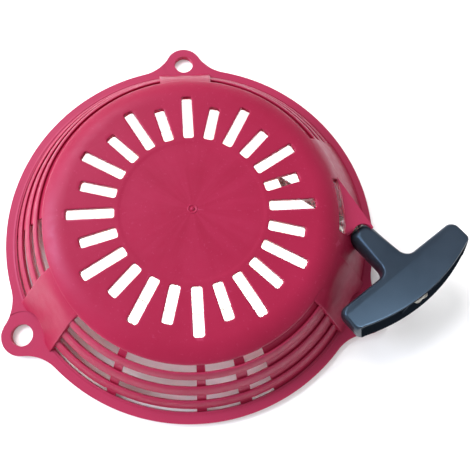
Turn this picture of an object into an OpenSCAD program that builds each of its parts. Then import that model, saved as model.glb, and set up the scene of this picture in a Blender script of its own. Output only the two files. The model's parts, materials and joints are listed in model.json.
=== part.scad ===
// Recoil starter for a small vertical-shaft engine.
// Frame: origin at the centre of the mounting circle, on the back of the flange (z = 0).
// +Z points out of the starter's face, +Y points to the top ear.

/* [Housing shell] */
// Radius of the round mounting flange
flange_r = 90; // [87:0.5:96]
// Thickness of the flange and of the ears
flange_t = 3; // [2.4:0.2:4]
// Height of the flat face above the back of the flange
face_h = 35.2; // [34.8:0.1:37]
// Radius at which the flat face begins to round over
face_r = 54; // [53.5:0.5:56]
// Radius of the rounding between the face and the wall
shoulder_r = 18; // [16:0.5:20]
// Slope of the conical wall, from the horizontal
wall_slope = 55; // [54:0.5:56]
// Thickness of the shell
wall = 2.5; // [2:0.1:3]

/* [Ears and pads] */
// Radius of the circle that the three bolt holes lie on
bolt_circle_r = 93.2; // [90:0.1:97]
// Radius of the bolt holes
bolt_hole_r = 5; // [3.2:0.1:5.4]
// Outer radius of an ear
ear_r = 9.3; // [8:0.1:12]
// Radius of the hollow curve from an ear to the flange
ear_blend_r = 20; // [12:1:30]
// Radius of the flat spot face around a bolt hole
spot_r = 10.9; // [9:0.1:12]
// Width of the raised pad that carries an ear
pad_w = 26; // [20:1:30]

/* [Face slots] */
// Number of cooling slots in the face
slot_n = 24; // [12:2:30]
// Width of a slot
slot_w = 4.6; // [3:0.1:6]
// Radius of a slot's corners
slot_corner_r = 1.1; // [0.5:0.1:2]
// Radius at which the slots begin
slot_in_r = 33.2; // [32:0.2:38]
// Radius at which the long slots end
slot_long_r = 53; // [50:0.5:54]
// Radius at which the short slots end
slot_short_r = 48.6; // [44:0.2:50]

/* [Reel and rope] */
// Radius of the reel's two flanges
reel_r = 43; // [42:0.5:46]
// Diameter of the starter rope
rope_d = 4; // [3:0.1:4.4]
// Radius of the rope's inner layer, at the rope's centre
rope_in_r = 31.6; // [31.6:0.1:32]
// Height of the rope groove's middle
rope_z = 19; // [18.8:0.1:19.4]
// Radius of the centre post
post_r = 7; // [6:0.1:7.5]

/* [Pawls and ratchet guide] */
// Distance of a pawl's pin from the centre
pawl_pin_r = 22; // [21:0.5:23]
// Swing of a pawl
pawl_swing = 28; // [20:1:30]
// Turn of the ratchet guide that opens the pawls
guide_turn = 30; // [25:1:35]

/* [Grip] */
// Direction in which the grip is pulled, from +X
grip_azimuth = -57.2; // [-60:0.1:-54]
// Rise of that direction above the flange
grip_rise = 14; // [12:0.5:16]
// Roll of the grip about its own stem
grip_roll = 3; // [0:0.5:4]
// Half of the grip's width across both arms
grip_half_w = 32.5; // [30:0.1:40]
// Length of the grip from its nose to the middle of its back
grip_len = 42; // [40:0.2:45]
// Thickness of the grip
grip_t = 12.6; // [12:0.2:14]

/* [Hidden] */
$fn = 96;

housing_red = [0.75, 0.17, 0.3];
grip_black = [0.12, 0.14, 0.17];
rope_cream = [0.9, 0.88, 0.8];
reel_white = [0.88, 0.87, 0.82];
steel = [0.7, 0.71, 0.73];
brass = [0.78, 0.62, 0.32];
spring_steel = [0.35, 0.37, 0.4];

over = 1;          // how far a cutter runs past the face that it cuts
run_fit = 0.08;    // radial clearance of a running fit
wall_tan = tan(wall_slope);

// Shell: flat face, rounded shoulder, conical wall and flange
shoulder_end_r = face_r + shoulder_r * sin(wall_slope);
shoulder_end_z = face_h - shoulder_r * (1 - cos(wall_slope));
inner_shoulder_r = shoulder_r - wall;
inner_end_r = face_r + inner_shoulder_r * sin(wall_slope);
inner_end_z = face_h - shoulder_r + inner_shoulder_r * cos(wall_slope);
inner_base_r = inner_end_r + inner_end_z / wall_tan;
wall_foot_r = shoulder_end_r + (shoulder_end_z - flange_t) / wall_tan;

// Points along an arc, both ends included
function arc(centre, r, from, to, n) = [for (k = [0 : n])
    let (t = from + (to - from) * k / n) centre + r * [cos(t), sin(t)]];

function shell_z(r) =
    r <= face_r ? face_h :
    r <= shoulder_end_r ? face_h - shoulder_r + sqrt(pow(shoulder_r, 2) - pow(r - face_r, 2)) :
    shoulder_end_z - (r - shoulder_end_r) * wall_tan;

function shoulder_point(radius, angle) =
    [face_r + radius * sin(angle), face_h - shoulder_r + radius * cos(angle)];

// Hoops: grooves between them run round the wall, and are open right through in some sectors
groove_depth = 2.1;
groove_rows = [[64.3, 67], [70.4, 73], [77.1, 79.4], [83.4, 85.4]];
groove_sectors = [[30, 84], [96, 204], [216, 324]];
open_sectors = [[179, 202], [218, 240], [243.3, 268.6], [271.8, 282.4], [285.6, 293.7]];

ear_angles = [90, 210, 330];
pad_start_angle = 35;   // place on the shoulder's arc where a pad begins
pad_lift = 0.4;
spot_depth = 0.3;
ear_blend_angle = acos((pow(flange_r + ear_blend_r, 2) + pow(bolt_circle_r, 2)
    - pow(ear_r + ear_blend_r, 2)) / (2 * (flange_r + ear_blend_r) * bolt_circle_r));

// Rope guide: a hollow wedge on the wall that carries the rope from the reel to the eyelet
guide_top_z = 28;
guide_outline = [[60, 17], [65.6, 16.8], [80.2, -10.2], [79.6, -11.2], [71, -11.9],
    [67.4, -13.6], [60, -14.5]];
guide_channel = [[60, 12.2], [65.4, 12.2], [76.2, -7.8], [60, -9.4]];
guide_channel_z = [11, 25.6];
guide_slot_row = [64.4, 68.2];
guide_slot_half_angle = 11;

// Grip frame: its X axis is the pull direction, and its origin is the tip of the stem
guide_mouth = [76.1, -11, 19.6];
stem_in = 1.2;          // how far the resting stem reaches into the mouth
pull = [cos(grip_rise) * cos(grip_azimuth), cos(grip_rise) * sin(grip_azimuth), sin(grip_rise)];
grip_seat = guide_mouth - stem_in * pull;
eyelet_body_r = 4.6;
eyelet_bore_r = 3.3;
eyelet_flange_r = 6.2;
eyelet_flange_t = 1.4;
eyelet_len = 6;
eyelet_gap = 1.2;       // from the eyelet's flange to the resting grip
eyelet_boss_r = 7.2;
eyelet_boss_len = 7;
grip_pocket_r = 7;      // recess in the guide that clears the resting stem
notch_centre = [75.6, -13.2];   // the roof over the recess is cut back round the stem's tip
notch_r = 4.8;
notch_z = 22;

// Reel
rope_r = rope_d / 2;
rope_pitch = rope_d + 0.1;
rope_layers = 3;
rope_gap = 0.4;         // between the wound rope's end and the straight run
groove_half = rope_pitch + 0.1;
groove_floor_r = rope_in_r - rope_r - 0.1;
reel_flange_t = 2;
reel_bottom_z = rope_z - groove_half - reel_flange_t;
reel_top_z = rope_z + groove_half + reel_flange_t;
chamber_wall = 2.2;
chamber_r = groove_floor_r - chamber_wall;
chamber_floor_z = reel_bottom_z + 2.7;
hub_r = 10.2;
hub_bottom_z = 6.4;
post_end_z = 6.2;
cover_z = reel_top_z + 0.8;
cover_t = 0.8;
cover_bore_r = 9;
reel_park = 20;         // angle at which the parked reel shows its first pawl

// The rope leaves the outer layer at a tangent that runs straight to the eyelet
rope_out_r = rope_in_r + (rope_layers - 1) * rope_pitch;
rope_leave_z = rope_z - rope_pitch / 2;
bend_drop = 1;          // how far below the groove's middle the run turns into the eyelet
bend_back = (grip_seat[2] - rope_z + bend_drop) / pull[2];
bend_point = grip_seat - bend_back * pull;
bend_reach = norm([bend_point[0], bend_point[1]]);
leave_angle = atan2(bend_point[1], bend_point[0]) + acos(rope_out_r / bend_reach);
leave_point = [rope_out_r * cos(leave_angle), rope_out_r * sin(leave_angle), rope_leave_z];
run_dir = (bend_point - leave_point) / norm(bend_point - leave_point);

// Post, its screw and insert
screw_hole_r = 3;
screw_head_z = 1.2;
insert_r = 4.4;
insert_len = 8;

// Spring
spring_hook_angle = 200;
spring_t = 0.7;
spring_turns = 7;
spring_in_r = 8.4;
spring_out_r = chamber_r - 0.8;
spring_z = [chamber_floor_z + 0.4, reel_top_z + 0.3];

// Slanted line on which the rope's inner end passes through the reel, as [radius, height]
knot_angle = reel_park + 90;
knot_place = [26.4, 9.3];
knot_entry = [30.6, 15.1];

// Pawls, in the reel's frame
pawl_z = [6.9, 11.9];
pawl_eye_r = 4.2;
pawl_boss_r = 4.6;
pawl_pin_rad = 2;
pin_head_r = 3;
pin_z = [5.5, 15];
peg_r = 1.5;
peg_arm = [-2.4, -7.6];
guide_z = [2.9, 4.9];
guide_r = 28;
guide_bore_r = 5.1;
peg_clear = 0.35;
friction_r = 11.5;
friction_wire_r = 0.55;
friction_leg = friction_r * [cos(158), sin(158)];

// Grip outline, from the tip of its stem
arm_in = 23.2;
arm_corner = 3;
stem_half_w = 5.8;
stem_blend_r = 4.5;
stem_round_r = 6.6;
stem_round_len = [10.2, 15.2];
back_r = 88;
pocket_half_w = 27;
pocket_half_t = 4.6;
pocket_in = 34.2;
grip_rib_w = 9.4;
grip_rib_t = 1.6;

function turned(v, angle) =
    [v[0] * cos(angle) - v[1] * sin(angle), v[0] * sin(angle) + v[1] * cos(angle)];
// Place of a pawl's peg in the ratchet guide's frame, from closed (0) to open (1)
function peg_path(part) =
    turned([pawl_pin_r, 0] + turned(peg_arm, pawl_swing * part), -guide_turn * part);

module in_grip_frame() {
    translate(grip_seat) rotate([0, 0, grip_azimuth]) rotate([0, -grip_rise, 0])
        rotate([grip_roll, 0, 0]) children();
}

// A cylinder along the pull direction, between two distances from the stem's tip
module along_pull(from, to, r) {
    in_grip_frame() translate([from, 0, 0]) rotate([0, 90, 0]) cylinder(h = to - from, r = r);
}

module ring(r_in, r_out, z_low, z_high) {
    translate([0, 0, z_low]) difference() {
        cylinder(h = z_high - z_low, r = r_out);
        translate([0, 0, -over]) cylinder(h = z_high - z_low + 2 * over, r = r_in);
    }
}

module rounded_bar(length, width, corner) {
    steps = [0 : 30 : 90];
    quarter = [for (a = steps) [corner * cos(a), corner * sin(a)]];
    x = length / 2 - corner;
    y = width / 2 - corner;
    polygon(concat(
        [for (p = quarter) [x + p[0], y + p[1]]],
        [for (p = quarter) [-x - p[1], y + p[0]]],
        [for (p = quarter) [-x - p[0], -y - p[1]]],
        [for (p = quarter) [x + p[1], -y - p[0]]]));
}

// ---------------------------------------------------------------- housing

module shell() {
    outer_arc = [for (a = [0 : 5 : wall_slope]) shoulder_point(shoulder_r, a)];
    inner_arc = [for (a = [wall_slope : -5 : 0]) shoulder_point(inner_shoulder_r, a)];
    rotate_extrude($fn = 180) polygon(concat(
        [[0, face_h]], outer_arc,
        [[wall_foot_r, flange_t], [wall_foot_r, 0], [inner_base_r, 0]], inner_arc,
        [[0, face_h - wall]]));
}

// Outline of one ear: a hollow curve from the flange, the ear's round end, and back
module ear_outline() {
    reach = flange_r + ear_blend_r - 0.05;
    root_r = flange_r - 2;
    centre = reach * [cos(ear_blend_angle), sin(ear_blend_angle)];
    meet = atan2(centre[1], centre[0] - bolt_circle_r);
    half = concat(
        [root_r * [cos(ear_blend_angle), sin(ear_blend_angle)]],
        arc(centre, ear_blend_r, 180 + ear_blend_angle, 180 + meet, 8),
        arc([bolt_circle_r, 0], ear_r, meet * 7 / 8, 0, 7));
    polygon(concat(half, [for (i = [len(half) - 2 : -1 : 0]) [half[i][0], -half[i][1]]]));
}

// Round flange and its three ears, in one plate
module mounting_plate() {
    web = 1;    // the plate reaches this far under the wall round each spot face
    linear_extrude(flange_t) {
        difference() {
            union() {
                circle(r = flange_r);
                for (a = ear_angles) rotate(a) ear_outline();
            }
            circle(r = inner_base_r + 0.5);
        }
        for (a = ear_angles) intersection() {
            rotate(a) translate([bolt_circle_r, 0]) circle(r = spot_r + web);
            circle(r = inner_base_r + 0.5 + web);
        }
    }
}

module pad() {
    top_r = shoulder_r + pad_lift;
    arc = [for (a = [pad_start_angle : 5 : wall_slope]) shoulder_point(top_r, a)];
    first = arc[0];
    last = arc[len(arc) - 1];
    foot = [last[0] + (last[1] - flange_t) / wall_tan, flange_t];
    depth = wall + 1.2;
    rotate([90, 0, 0]) translate([0, 0, -pad_w / 2]) linear_extrude(pad_w)
        polygon(concat(arc, [foot, foot - [1, 2.5], last - [0.4, depth], first - [0, depth]]));
}

module groove(row, sector) {
    rotate_extrude(angle = sector[1] - sector[0], start = sector[0]) polygon([
        [row[0], shell_z(row[0]) + 4], [row[1], shell_z(row[0]) + 4],
        [row[1], shell_z(row[1]) - groove_depth], [row[0], shell_z(row[0]) - groove_depth]]);
}

module opening(row, sector) {
    last = min(row[1], inner_base_r - 0.3);
    rotate_extrude(angle = sector[1] - sector[0], start = sector[0]) polygon([
        [row[0], shell_z(row[0]) + 4], [last, shell_z(row[0]) + 4],
        [last, shell_z(last) - 6], [row[0], shell_z(row[0]) - 6]]);
}

module face_slots() {
    for (i = [0 : slot_n - 1]) {
        slot_out_r = i % 2 == 0 ? slot_long_r : slot_short_r;
        rotate([0, 0, i * 360 / slot_n])
            translate([(slot_in_r + slot_out_r) / 2, 0, face_h - wall - over])
            linear_extrude(wall + 2 * over)
            rounded_bar(slot_out_r - slot_in_r, slot_w, slot_corner_r);
    }
}

// Wedge and eyelet boss, trimmed back to the middle of the shell's wall
module rope_guide() {
    mid = wall / 3;
    difference() {
        union() {
            translate([0, 0, 1]) linear_extrude(guide_top_z - 1) polygon(guide_outline);
            along_pull(-eyelet_boss_len, -eyelet_gap - eyelet_flange_t, eyelet_boss_r);
        }
        rotate_extrude($fn = 180) polygon([
            [0, -over], [inner_base_r + mid + over / wall_tan, -over],
            [inner_end_r + mid, inner_end_z],
            [inner_end_r - 1.2 + mid, guide_top_z + over], [0, guide_top_z + over]]);
    }
}

module centre_post() {
    translate([0, 0, post_end_z]) cylinder(h = face_h - wall - post_end_z + 0.5, r = post_r);
    ring(30.6, 32.4, cover_z + cover_t + 1, face_h - wall + 0.5);
    for (a = [0 : 60 : 300])
        rotate([0, 0, a + 15]) translate([post_r - 1, -0.9, face_h - wall - 3])
            cube([31 - post_r + 1, 1.8, 3.5]);
}

module starter_housing() {
    color(housing_red) difference() {
        union() {
            difference() {
                shell();
                for (row = groove_rows, sector = groove_sectors) groove(row, sector);
                for (row = groove_rows, sector = open_sectors) opening(row, sector);
            }
            mounting_plate();
            for (a = ear_angles) rotate([0, 0, a]) pad();
            rope_guide();
            centre_post();
        }
        face_slots();
        translate([0, 0, guide_channel_z[0]])
            linear_extrude(guide_channel_z[1] - guide_channel_z[0]) polygon(guide_channel);
        rotate_extrude(angle = 2 * guide_slot_half_angle, start = -guide_slot_half_angle)
            translate([guide_slot_row[0], guide_channel_z[0] + 5])
            square([guide_slot_row[1] - guide_slot_row[0], 20]);
        along_pull(-eyelet_boss_len - 6, 2, eyelet_body_r);
        along_pull(-eyelet_gap - eyelet_flange_t, 14, grip_pocket_r);
        translate([notch_centre[0], notch_centre[1], notch_z]) cylinder(h = 20, r = notch_r);
        for (a = ear_angles) rotate([0, 0, a]) translate([bolt_circle_r, 0, 0]) {
            translate([0, 0, -over]) cylinder(h = flange_t + 2 * over, r = bolt_hole_r);
            translate([0, 0, flange_t - spot_depth]) cylinder(h = 20, r = spot_r);
        }
        translate([0, 0, post_end_z - over]) cylinder(h = 15, r = screw_hole_r);
        translate([0, 0, post_end_z - over]) cylinder(h = insert_len + over + 0.2, r = insert_r + 0.05);
        rotate([0, 0, spring_hook_angle]) translate([3.6, -0.6, spring_z[0] - 0.3])
            cube([post_r, 1.2, spring_z[1] - spring_z[0] + 0.6]);
    }
}

module rope_eyelet() {
    lip = 0.8;
    color(steel) in_grip_frame() translate([-eyelet_gap, 0, 0]) rotate([0, -90, 0])
        rotate_extrude() polygon([
            [eyelet_bore_r + lip, 0], [eyelet_flange_r - 0.3, 0], [eyelet_flange_r, 0.3],
            [eyelet_flange_r, eyelet_flange_t], [eyelet_body_r, eyelet_flange_t],
            [eyelet_body_r, eyelet_len], [eyelet_bore_r + lip, eyelet_len],
            [eyelet_bore_r, eyelet_len - lip], [eyelet_bore_r, lip]]);
}

// Threaded bush moulded into the end of the post
module post_insert() {
    grip_ring_r = insert_r - 0.5;
    color(brass) rotate_extrude() polygon([
        [screw_hole_r, post_end_z], [insert_r, post_end_z], [insert_r, post_end_z + 3],
        [grip_ring_r, post_end_z + 3.4], [grip_ring_r, post_end_z + 4.6],
        [insert_r, post_end_z + 5], [insert_r, post_end_z + insert_len],
        [screw_hole_r, post_end_z + insert_len]]);
}

module recoil_spring() {
    steps = 24 * spring_turns;
    turns = [for (i = [0 : steps]) i / 24];
    grow = (spring_out_r - spring_in_r - spring_t) / spring_turns;
    function spiral(turn, add) =
        (spring_in_r + grow * turn + add) * [cos(360 * turn), sin(360 * turn)];
    height = spring_z[1] - spring_z[0];
    color(spring_steel) rotate([0, 0, spring_hook_angle]) translate([0, 0, spring_z[0]]) {
        linear_extrude(height) polygon(concat(
            [for (t = turns) spiral(t, 0)],
            [for (i = [steps : -1 : 0]) spiral(turns[i], spring_t)]));
        translate([4, -spring_t / 2, 0]) cube([spring_in_r - 4 + spring_t / 2, spring_t, height]);
    }
}

module centre_screw() {
    color(steel) difference() {
        union() {
            translate([0, 0, screw_head_z]) cylinder(h = 1.4, r = 8.5);
            translate([0, 0, screw_head_z]) cylinder(h = 4, r = guide_bore_r - run_fit);
            translate([0, 0, screw_head_z + 3]) cylinder(h = 14, r = screw_hole_r - 0.05);
        }
        translate([0, 0, screw_head_z - over]) cylinder(h = 3.4, r = 2.9, $fn = 6);
    }
}

module thrust_washer() {
    color(steel) ring(screw_hole_r + 0.1, 9.5, post_end_z - 1, post_end_z);
}

// ---------------------------------------------------------------- rope

function unit(v) = v / norm(v);
// Ring of points round a place on the rope, square to its direction
function rope_ring(place, along, sides) =
    let (side = unit(cross([0, 0, 1], along)), up = cross(along, side))
    [for (i = [0 : sides - 1])
        place + rope_r * (cos(360 * i / sides) * side + sin(360 * i / sides) * up)];

module rope_run() {
    sides = 12;
    reach = 1.9;
    before = bend_point - reach * run_dir;
    after = bend_point + reach * pull;
    start = leave_point + rope_gap * run_dir;
    straight = [for (k = [0 : 4]) start + (before - start) * k / 4];
    bend = [for (k = [1 : 6]) let (t = k / 6)
        pow(1 - t, 2) * before + 2 * t * (1 - t) * bend_point + t * t * after];
    bend_dir = [for (k = [1 : 6]) let (t = k / 6)
        unit((1 - t) * (bend_point - before) + t * (after - bend_point))];
    places = concat(straight, bend, [grip_seat - 0.3 * pull]);
    dirs = concat([for (p = straight) run_dir], bend_dir, [pull]);
    points = [for (i = [0 : len(places) - 1]) each rope_ring(places[i], dirs[i], sides)];
    last = (len(places) - 1) * sides;
    color(rope_cream) polyhedron(points = points, faces = concat(
        [[for (i = [0 : sides - 1]) i]],
        [for (r = [0 : len(places) - 2], i = [0 : sides - 1])
            let (a = r * sides, j = (i + 1) % sides) [a + j, a + i, a + sides + i, a + sides + j]],
        [[for (i = [sides - 1 : -1 : 0]) last + i]]));
}

module rope_turn(r, z, from, span) {
    rotate_extrude(angle = span, start = from) translate([r, z]) circle(r = rope_r, $fn = 48);
}

module rope_coil() {
    free_angle = acos(rope_out_r / (rope_out_r + rope_d + 0.3));
    color(rope_cream) {
        for (layer = [0 : rope_layers - 1]) {
            r = rope_in_r + layer * rope_pitch;
            rope_turn(r, rope_z + rope_pitch / 2, 0, 360);
            if (layer < rope_layers - 1) rope_turn(r, rope_z - rope_pitch / 2, 0, 360);
        }
        rope_turn(rope_out_r, rope_leave_z, leave_angle + 1, 360 - free_angle - 2);
    }
}

module on_knot_line() {
    step = knot_entry - knot_place;
    rotate([0, 0, knot_angle]) translate([knot_place[0], 0, knot_place[1]])
        rotate([0, atan2(step[0], step[1]), 0]) children();
}

module rope_reel_knot() {
    color(rope_cream) on_knot_line() {
        sphere(r = 2.8);
        cylinder(h = norm(knot_entry - knot_place) - 0.3, r = rope_r - 0.1);
        translate([0, 0, -0.4]) rotate([70, 0, 0]) rotate_extrude() translate([1.9, 0])
            circle(r = 1.3, $fn = 32);
    }
}

// ---------------------------------------------------------------- reel

// Half section of the reel: hub, lower flange, rope drum and upper flange
module reel_section() {
    rim_in = reel_r - 0.6;
    polygon([
        [post_r + run_fit, hub_bottom_z], [hub_r, hub_bottom_z], [hub_r, reel_bottom_z],
        [reel_r, reel_bottom_z], [reel_r, reel_bottom_z + reel_flange_t - 0.5],
        [rim_in, reel_bottom_z + reel_flange_t], [groove_floor_r, reel_bottom_z + reel_flange_t],
        [groove_floor_r, reel_top_z - reel_flange_t], [rim_in, reel_top_z - reel_flange_t],
        [reel_r, reel_top_z - 1.5], [reel_r, reel_top_z], [groove_floor_r, reel_top_z],
        [groove_floor_r, cover_z], [chamber_r, cover_z], [chamber_r, chamber_floor_z],
        [post_r + run_fit, chamber_floor_z]]);
}

module reel() {
    boss_z = pawl_z[1] + 0.2;
    color(reel_white) difference() {
        union() {
            rotate_extrude() reel_section();
            for (i = [0, 1]) rotate([0, 0, reel_park + 180 * i]) translate([pawl_pin_r, 0, boss_z])
                cylinder(h = reel_bottom_z - boss_z + over, r = pawl_boss_r);
            for (i = [0 : 5]) rotate([0, 0, reel_park + 60 * i + 30])
                translate([hub_r - 1, -0.8, reel_bottom_z - 1.2]) cube([4, 1.6, 2]);
        }
        on_knot_line() cylinder(h = 9, r = rope_r + 0.15);
        for (i = [0, 1]) rotate([0, 0, reel_park + 180 * i]) translate([pawl_pin_r, 0, pin_z[0]])
            cylinder(h = pin_z[1] - pin_z[0] + 0.2, r = pawl_pin_rad);
    }
}

module spring_cover() {
    color(steel) difference() {
        ring(cover_bore_r, groove_floor_r - 0.2, cover_z, cover_z + cover_t);
        for (a = [0 : 120 : 240]) rotate([0, 0, a]) translate([18, 0, cover_z - over])
            cylinder(h = 3, r = 3);
    }
}

module pawl_pin(index) {
    color(steel) rotate([0, 0, reel_park + 180 * index]) translate([pawl_pin_r, 0, pin_z[0]]) {
        cylinder(h = pin_z[1] - pin_z[0], r = pawl_pin_rad);
        cylinder(h = 1.1, r = pin_head_r);
    }
}

module pawl(index) {
    color(steel) rotate([0, 0, reel_park + 180 * index]) translate([pawl_pin_r, 0, 0]) {
        translate([0, 0, pawl_z[0]]) linear_extrude(pawl_z[1] - pawl_z[0]) difference() {
            union() {
                circle(r = pawl_eye_r);
                polygon([[4.1, -0.9], [2.6, -9], [-1.2, -17], [-4.6, -20.4], [-8.6, -19.2],
                    [-7.6, -12], [-4, -1.2]]);
            }
            circle(r = pawl_pin_rad + run_fit);
        }
        translate([peg_arm[0], peg_arm[1], guide_z[0] + 0.3])
            cylinder(h = pawl_z[0] - guide_z[0], r = peg_r);
    }
}

module ratchet_guide() {
    color(grip_black) rotate([0, 0, reel_park]) difference() {
        translate([0, 0, guide_z[0]]) cylinder(h = guide_z[1] - guide_z[0], r = guide_r);
        translate([0, 0, guide_z[0] - over]) linear_extrude(4) {
            circle(r = guide_bore_r);
            for (side = [0, 180], part = [0 : 1 / 12 : 1.001])
                rotate([0, 0, side]) translate(peg_path(part)) circle(r = peg_r + peg_clear);
            for (side = [0, 180]) rotate([0, 0, side + 80]) translate([18, 0]) circle(r = 5);
            translate(friction_leg) circle(r = 0.8);
        }
    }
}

module friction_spring() {
    ring_z = guide_z[1] + friction_wire_r + 0.05;
    color(spring_steel) rotate([0, 0, reel_park]) {
        rotate_extrude(angle = 320, start = 150) translate([friction_r, ring_z])
            circle(r = friction_wire_r, $fn = 32);
        translate([friction_leg[0], friction_leg[1], guide_z[0] + 0.2])
            cylinder(h = ring_z - guide_z[0] - 0.2, r = friction_wire_r - 0.1);
    }
}

// ---------------------------------------------------------------- grip

// Stem, hollow curves into the two arms, and the arched back
module grip_outline() {
    nose_r = 3;
    side_end = [grip_len - 9.3, grip_half_w];
    half = concat(
        arc([nose_r, stem_half_w - nose_r], nose_r, 180, 90, 4),
        arc([arm_in - stem_blend_r, stem_half_w + stem_blend_r], stem_blend_r, -90, 0, 6),
        arc([arm_in + arm_corner, grip_half_w - arm_corner], arm_corner, 180, 90, 4),
        [side_end, side_end + [1.7, -0.5], side_end + [3, -1.7], side_end + [8, -10]],
        [[grip_len + 2, grip_half_w / 2]]);
    intersection() {
        polygon(concat(half, [for (i = [len(half) - 1 : -1 : 0]) [half[i][0], -half[i][1]]]));
        translate([grip_len - back_r, 0]) circle(r = back_r, $fn = 240);
    }
}

// Round body that takes the corners off the stem and leaves the arms whole
module stem_round() {
    rotate([0, 90, 0]) rotate_extrude() polygon([
        [0, -over], [stem_round_r, -over], [stem_round_r, stem_round_len[0]],
        [stem_round_r + 2.8, stem_round_len[1]], [2 * grip_half_w, stem_round_len[1]],
        [2 * grip_half_w, grip_len + over], [0, grip_len + over]]);
}

module grip_body() {
    color(grip_black) in_grip_frame() difference() {
        intersection() {
            translate([0, 0, -grip_t / 2]) linear_extrude(grip_t) grip_outline();
            stem_round();
        }
        difference() {
            translate([pocket_in, -pocket_half_w, -pocket_half_t])
                cube([grip_len, 2 * pocket_half_w, 2 * pocket_half_t]);
            for (side = [-1, 1])
                translate([pocket_in - over, side * grip_rib_w - grip_rib_t / 2, -grip_t])
                    cube([6.2, grip_rib_t, 2 * grip_t]);
        }
        translate([-over, 0, 0]) rotate([0, 90, 0]) cylinder(h = grip_len, r = rope_r + 0.35);
    }
}

module grip_washer() {
    color(steel) in_grip_frame() translate([pocket_in, 0, 0]) rotate([0, 90, 0])
        ring(rope_r + 0.1, 4.4, 0, 1);
}

module rope_grip_end() {
    knot_x = pocket_in + 4.4;
    color(rope_cream) in_grip_frame() {
        translate([0.3, 0, 0]) rotate([0, 90, 0]) cylinder(h = knot_x - 0.3, r = rope_r);
        translate([knot_x, 0, 0]) {
            sphere(r = 3.4);
            translate([1, 2.2, 0.6]) sphere(r = 2.2);
            translate([0.6, -2.2, -0.5]) sphere(r = 2.3);
        }
    }
}

// ---------------------------------------------------------------- nodes

starter_housing();
rope_eyelet();
post_insert();
recoil_spring();
centre_screw();
thrust_washer();
rope_run();
reel();
spring_cover();
rope_coil();
rope_reel_knot();
pawl_pin(0);  // pawl_pin_1
pawl_pin(1);  // pawl_pin_2
ratchet_guide();
friction_spring();
pawl(0);  // pawl_1
pawl(1);  // pawl_2
grip_body();
grip_washer();
rope_grip_end();
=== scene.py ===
"""Recoil starter: the detailed visual model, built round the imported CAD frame."""
import json
import math

import bmesh
import bpy
import numpy as np
from mathutils import Matrix, Vector


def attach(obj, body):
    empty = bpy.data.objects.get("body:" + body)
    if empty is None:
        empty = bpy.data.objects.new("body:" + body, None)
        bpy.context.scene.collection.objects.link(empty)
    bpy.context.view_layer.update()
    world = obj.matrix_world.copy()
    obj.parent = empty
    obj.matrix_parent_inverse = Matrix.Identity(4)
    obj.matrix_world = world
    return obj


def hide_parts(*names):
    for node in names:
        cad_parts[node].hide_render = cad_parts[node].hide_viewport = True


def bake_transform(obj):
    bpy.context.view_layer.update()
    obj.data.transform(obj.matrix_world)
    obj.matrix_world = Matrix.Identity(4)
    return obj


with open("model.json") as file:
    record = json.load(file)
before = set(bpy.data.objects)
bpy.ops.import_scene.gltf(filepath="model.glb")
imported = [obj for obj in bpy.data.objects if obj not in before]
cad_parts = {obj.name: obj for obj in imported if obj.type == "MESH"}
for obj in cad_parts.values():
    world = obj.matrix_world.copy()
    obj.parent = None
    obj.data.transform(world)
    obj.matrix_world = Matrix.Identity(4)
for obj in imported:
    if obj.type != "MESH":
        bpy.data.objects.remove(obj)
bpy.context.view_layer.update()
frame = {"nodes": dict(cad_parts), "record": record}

NODES = frame["nodes"]
MM = 0.001


def polar(r, deg):
    return (r * math.cos(math.radians(deg)), r * math.sin(math.radians(deg)))


def smoothstep(t):
    t = min(1.0, max(0.0, t))
    return t * t * (3 - 2 * t)


# ------------------------------------------------------------------ dimensions, in mm
FLANGE_R, FLANGE_T = 90.0, 3.0
FACE_H, FACE_R, SHOULDER_R, WALL = 35.2, 54.0, 18.0, 2.5
SLOPE = math.radians(55)
WALL_TAN = math.tan(SLOPE)
SHOULDER_END_R = FACE_R + SHOULDER_R * math.sin(SLOPE)
SHOULDER_END_Z = FACE_H - SHOULDER_R * (1 - math.cos(SLOPE))
INNER_SHOULDER = SHOULDER_R - WALL
INNER_END_R = FACE_R + INNER_SHOULDER * math.sin(SLOPE)
INNER_END_Z = FACE_H - SHOULDER_R + INNER_SHOULDER * math.cos(SLOPE)
INNER_BASE_R = INNER_END_R + INNER_END_Z / WALL_TAN
WALL_FOOT_R = SHOULDER_END_R + (SHOULDER_END_Z - FLANGE_T) / WALL_TAN
BOLT_R, HOLE_R, EAR_R, EAR_BLEND_R, SPOT_R = 93.2, 5.0, 9.3, 20.0, 10.9
SPOT_DEPTH = 0.3
PAD_TOP_HALF, PAD_FOOT_HALF, PAD_LIFT = 11.7, 13.5, 0.12
EARS = (90, 210, 330)
SLOT_N, SLOT_HALF, SLOT_CORNER = 24, 2.3, 1.1
SLOT_IN, SLOT_LONG, SLOT_SHORT = 33.2, 53.7, 49.3
GROOVES = ((64.3, 67.0), (70.4, 73.0), (77.1, 79.4), (83.4, 85.4))
OPEN_SECTORS = ((179.25, 201.75), (218.25, 240), (243, 268.5), (271.5, 282), (285.75, 293.25))
GROOVE_DEPTH = 2.1
GUIDE_TOP = 28.0
GUIDE_OUTLINE = ((60, 17), (65.6, 16.8), (80.2, -10.2), (79.6, -11.2), (71, -11.9), (67.4, -13.6),
                 (60, -14.5))
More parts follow.
